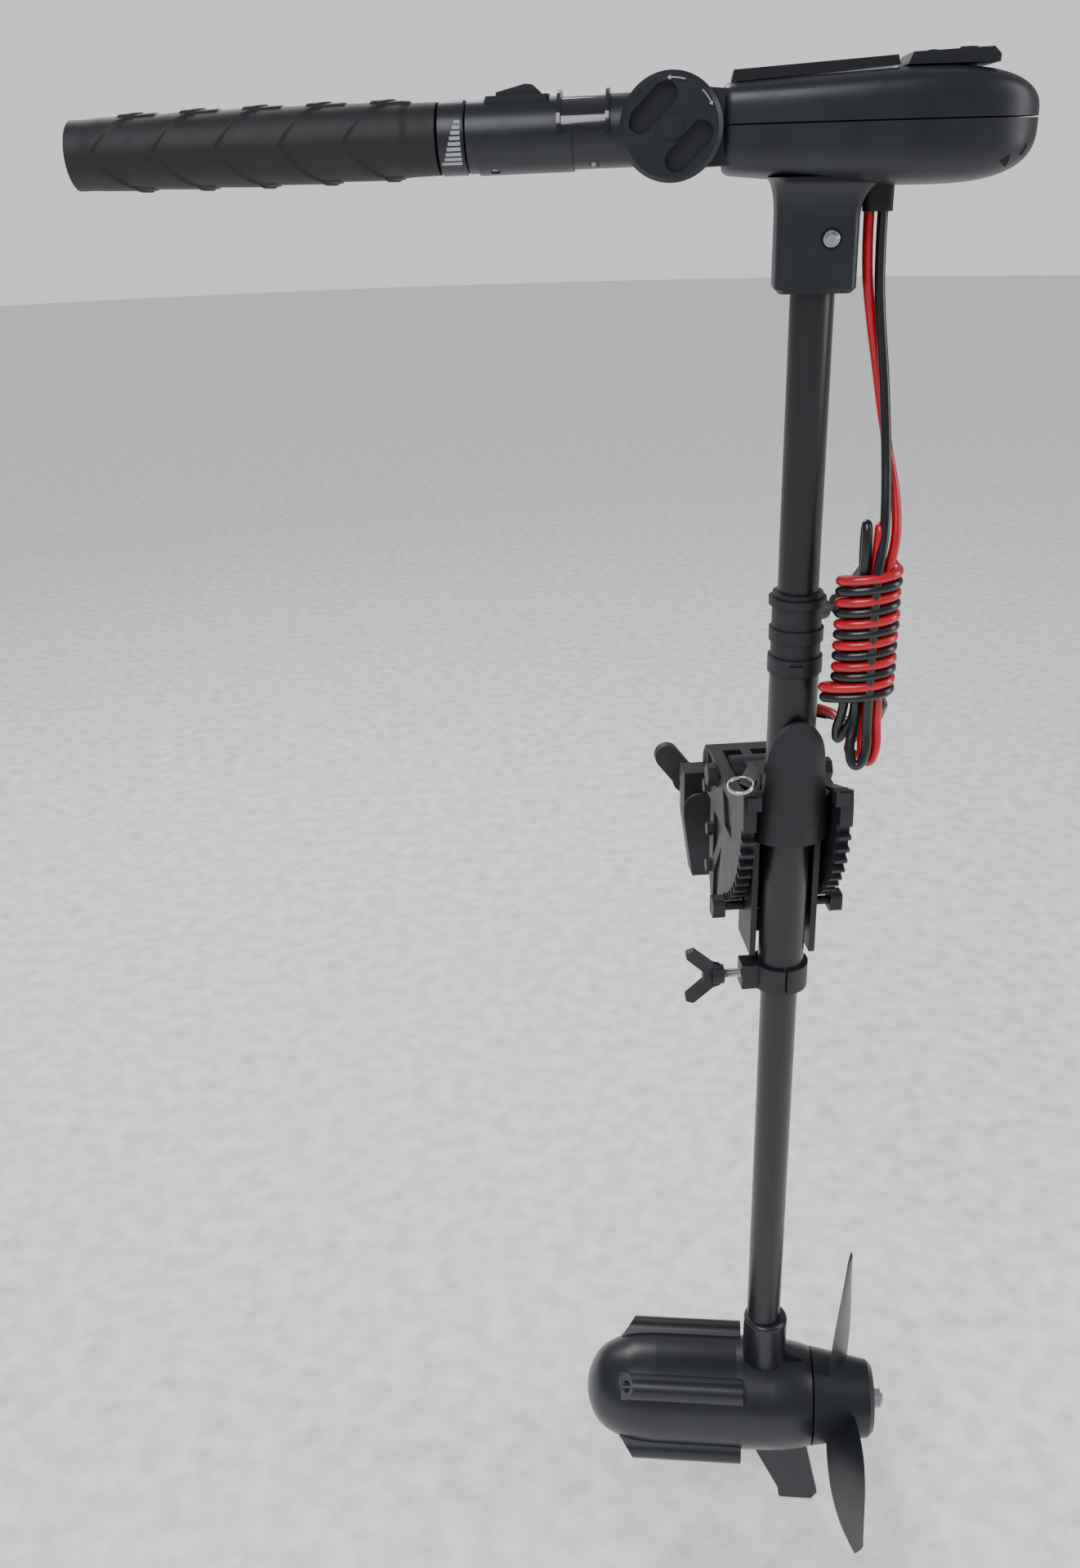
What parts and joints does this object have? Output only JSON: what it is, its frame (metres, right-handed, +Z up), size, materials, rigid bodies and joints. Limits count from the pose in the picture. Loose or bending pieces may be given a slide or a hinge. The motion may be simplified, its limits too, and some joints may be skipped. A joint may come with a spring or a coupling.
{
  "type": "trolling motor",
  "caption": "Transom-mount electric outboard with clamp bracket, tilting yoke, long shaft, tiller control head and submerged motor with propeller.",
  "frame": {"origin": "middle of the transom seat, on the underside of the bracket's bridge", "axes": "+X to starboard seen from the boat's stern, +Y into the boat, +Z up along the shaft"},
  "size_m": [0.5886, 0.3444, 1.1875],
  "materials": {
    "casing_plastic": "satin, fine moulded texture",
    "gloss_black": "polished",
    "bracket_nylon": "glass-filled nylon, matte",
    "knob_grey": "dark grey moulded",
    "tube_black": "smooth composite tube, satin",
    "motor_paint": "black semi-gloss paint",
    "steel": "stainless",
    "nickel": "nickel plated",
    "webbing": "woven nylon",
    "rubber": "moulded rubber",
    "lead_red": "glossy insulation",
    "lead_black": "glossy insulation",
    "lens": "smoked",
    "magnet": "dark ferrite",
    "board": "green laminate",
    "copper": "copper windings and steel stack",
    "white_nylon": "natural nylon"
  },
  "bodies": {
    "bracket": {"side_plate_left": "bracket_nylon", "side_plate_right": "bracket_nylon", "clamp_casting": "bracket_nylon", "transom_pad": "rubber", "pivot_bolt": "steel", "bracket_fasteners": "steel"},
    "left_pad": {"left_clamp_pad": "rubber"},
    "left_screw": {"left_clamp_screw": "knob_grey"},
    "right_pad": {"right_clamp_pad": "rubber"},
    "right_screw": {"right_clamp_screw": "knob_grey"},
    "swivel": {"swivel_housing": "bracket_nylon", "sleeve_tube": "tube_black", "swivel_bushings": "white_nylon", "steering_clamp_ring": "bracket_nylon", "lock_springs": "steel"},
    "lock": {"lock_rod": "steel", "pull_strap": "webbing", "split_ring": "nickel"},
    "steering_shoe": {"steering_shoe": "white_nylon"},
    "steering_knob": {"steering_wing_knob": "bracket_nylon"},
    "collar": {"depth_collar": "bracket_nylon", "lead_red": "lead_red", "lead_black": "lead_black", "lead_hank": "lead_red", "lead_terminals": "nickel"},
    "depth_shoe": {"depth_shoe": "white_nylon"},
    "depth_knob": {"depth_wing_knob": "bracket_nylon"},
    "shaft": {"shaft_tube": "tube_black", "head_lower_shell": "casing_plastic", "head_upper_shell": "casing_plastic", "top_flap": "gloss_black", "console_pod": "casing_plastic", "indicator_lens": "lens", "board_and_inner_leads": "board", "head_screws": "steel", "lead_gland": "rubber", "dial_bolt": "steel", "nose_cone": "motor_paint", "centre_tube": "motor_paint", "tail_housing": "motor_paint", "through_bolts": "steel", "field_magnets": "magnet", "bearings": "steel", "motor_seals": "rubber", "brush_gear": "magnet"},
    "test_button": {"test_button": "rubber"},
    "dial": {"tilt_dial": "casing_plastic"},
    "tiller": {"tiller_upper_shell": "casing_plastic", "tiller_lower_shell": "casing_plastic", "tiller_spool": "gloss_black", "tiller_screws": "steel", "button_spring": "steel"},
    "release_button": {"release_button": "casing_plastic"},
    "extension": {"extension_tube": "tube_black", "speed_sensor": "white_nylon"},
    "grip": {"grip_core": "casing_plastic", "rubber_grip": "rubber"},
    "prop": {"armature": "copper", "propeller": "casing_plastic", "prop_fasteners": "steel"}
  },
  "joints": [
    {"name": "tilt", "type": "hinge", "parent": "bracket", "child": "swivel", "pos_m": [0, -0.054, 0.031], "axis": [-1, 0, 0], "range_deg": [0, 59.4]},
    {"name": "steer", "type": "hinge", "parent": "swivel", "child": "collar", "pos_m": [0, -0.119, 0], "axis": [0, 0, 1], "range_deg": [-180, 180]},
    {"name": "depth", "type": "slide", "parent": "collar", "child": "shaft", "axis": [0, 0, 1], "range_m": [-0.19, 0.325], "deforming": ["lead_red", "lead_black"]},
    {"name": "prop_spin", "type": "hinge", "parent": "shaft", "child": "prop", "pos_m": [0, -0.119, -0.542], "axis": [0.9848, -0.1736, 0], "continuous": true},
    {"name": "tiller_tilt", "type": "hinge", "parent": "shaft", "child": "tiller", "pos_m": [-0.08765, -0.10354, 0.4826], "axis": [0.1736, 0.9848, 0], "range_deg": [-10, 45]},
    {"name": "tiller_extend", "type": "slide", "parent": "tiller", "child": "extension", "axis": [-0.9847, 0.1736, -0.0157], "range_m": [0, 0.05]},
    {"name": "throttle", "type": "hinge", "parent": "extension", "child": "grip", "pos_m": [-0.08765, -0.10354, 0.4826], "axis": [0.9847, -0.1736, 0.0157], "range_deg": [-60, 90]},
    {"name": "tilt_dial", "type": "hinge", "parent": "shaft", "child": "dial", "pos_m": [-0.08765, -0.10354, 0.4826], "axis": [0.1736, 0.9848, 0], "range_deg": [0, 120]},
    {"name": "release_button", "type": "slide", "parent": "tiller", "child": "release_button", "axis": [0.0155, -0.0027, -0.9999], "range_m": [0, 0.0025], "stiffness_N_per_m": 600, "springref_m": -0.001, "deforming": ["button_spring"]},
    {"name": "test_button", "type": "slide", "parent": "shaft", "child": "test_button", "axis": [0, 0, -1], "range_m": [0, 0.0015], "stiffness_N_per_m": 600, "springref_m": -0.001},
    {"name": "lock", "type": "slide", "parent": "swivel", "child": "lock", "axis": [0, 0.4329, 0.9014], "range_m": [0, 0.006], "stiffness_N_per_m": 1200, "springref_m": -0.005, "deforming": ["lock_springs"]},
    {"name": "steering_knob", "type": "hinge", "parent": "steering_shoe", "child": "steering_knob", "pos_m": [0, -0.119, -0.107], "axis": [-1, 0, 0], "range_deg": [-108, 1080]},
    {"name": "steering_shoe", "type": "slide", "parent": "swivel", "child": "steering_shoe", "axis": [-1, 0, 0], "range_m": [-0.0003, 0.003]},
    {"name": "depth_knob", "type": "hinge", "parent": "depth_shoe", "child": "depth_knob", "pos_m": [0, -0.119, 0.176], "axis": [0.866, 0.5, 0], "range_deg": [-108, 1080]},
    {"name": "depth_shoe", "type": "slide", "parent": "collar", "child": "depth_shoe", "axis": [0.866, 0.5, 0], "range_m": [-0.0003, 0.003]},
    {"name": "left_screw", "type": "hinge", "parent": "left_pad", "child": "left_screw", "pos_m": [-0.04, 0, -0.027], "axis": [0, -1, 0], "range_deg": [-1872, 2160]},
    {"name": "left_pad", "type": "slide", "parent": "bracket", "child": "left_pad", "axis": [0, -1, 0], "range_m": [-0.013, 0.015]},
    {"name": "right_screw", "type": "hinge", "parent": "right_pad", "child": "right_screw", "pos_m": [0.04, 0, -0.027], "axis": [0, -1, 0], "range_deg": [-1872, 2160]},
    {"name": "right_pad", "type": "slide", "parent": "bracket", "child": "right_pad", "axis": [0, -1, 0], "range_m": [-0.013, 0.015]}
  ],
  "couplings": [
    {"joint": "left_pad", "follows": "left_screw", "m_per_rad": 0.00039789},
    {"joint": "right_pad", "follows": "right_screw", "m_per_rad": 0.00039789},
    {"joint": "steering_shoe", "follows": "steering_knob", "m_per_rad": 0.00015915},
    {"joint": "depth_shoe", "follows": "depth_knob", "m_per_rad": 0.00015915}
  ]
}
